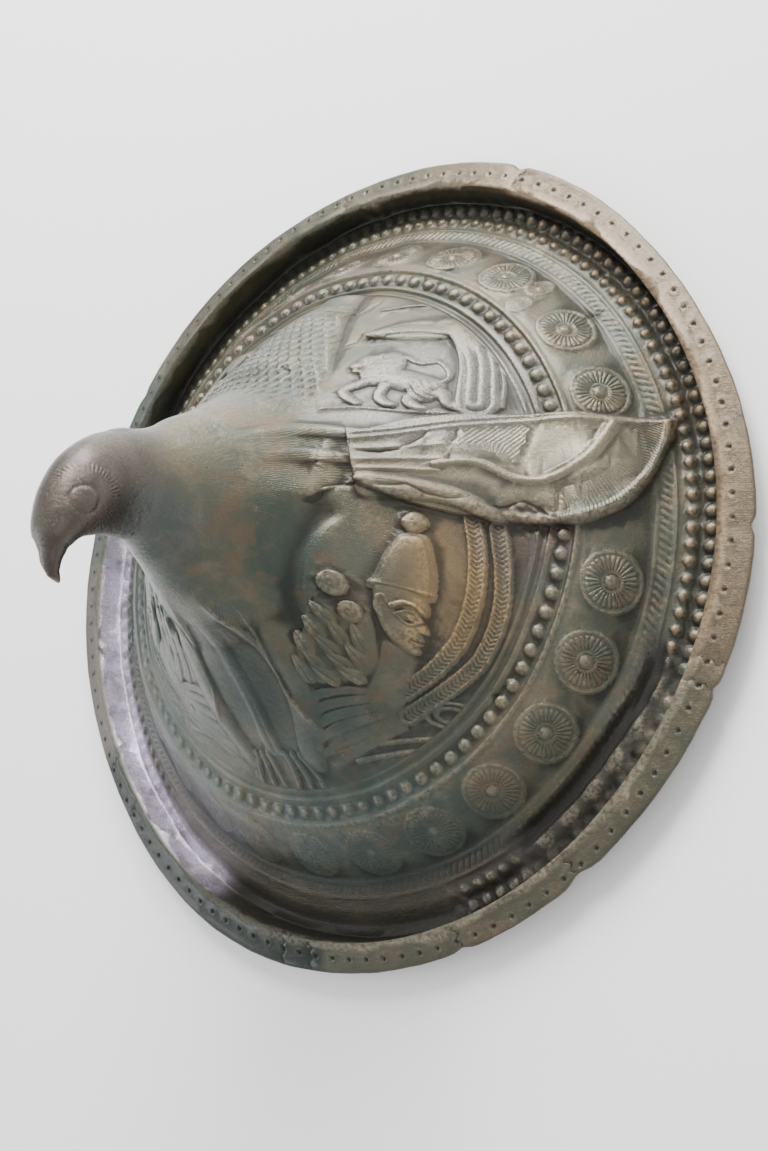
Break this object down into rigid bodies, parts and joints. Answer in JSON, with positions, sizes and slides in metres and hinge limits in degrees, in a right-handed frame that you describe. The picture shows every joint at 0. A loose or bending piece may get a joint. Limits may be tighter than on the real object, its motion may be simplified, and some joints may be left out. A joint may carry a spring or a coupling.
{
  "type": "embossed round shield",
  "caption": "Round hammered bronze shield with a bird-of-prey head standing out of its middle, figures in relief, rings of beads and rosettes and a flat flange round the edge.",
  "frame": {"origin": "under the middle of the outline, on the plane of the underside's flat ring, which the shield lies on", "axes": "+Z out of the shield's face, +Y towards the bird's tail, +X towards the wing that is on the right when the tail is up"},
  "size_m": [0.6024, 0.596, 0.3018],
  "materials": {
    "bronze": "aged olive-brown and dark green patina, half glossy"
  },
  "bodies": {
    "root": {"shield": "bronze"}
  },
  "joints": []
}
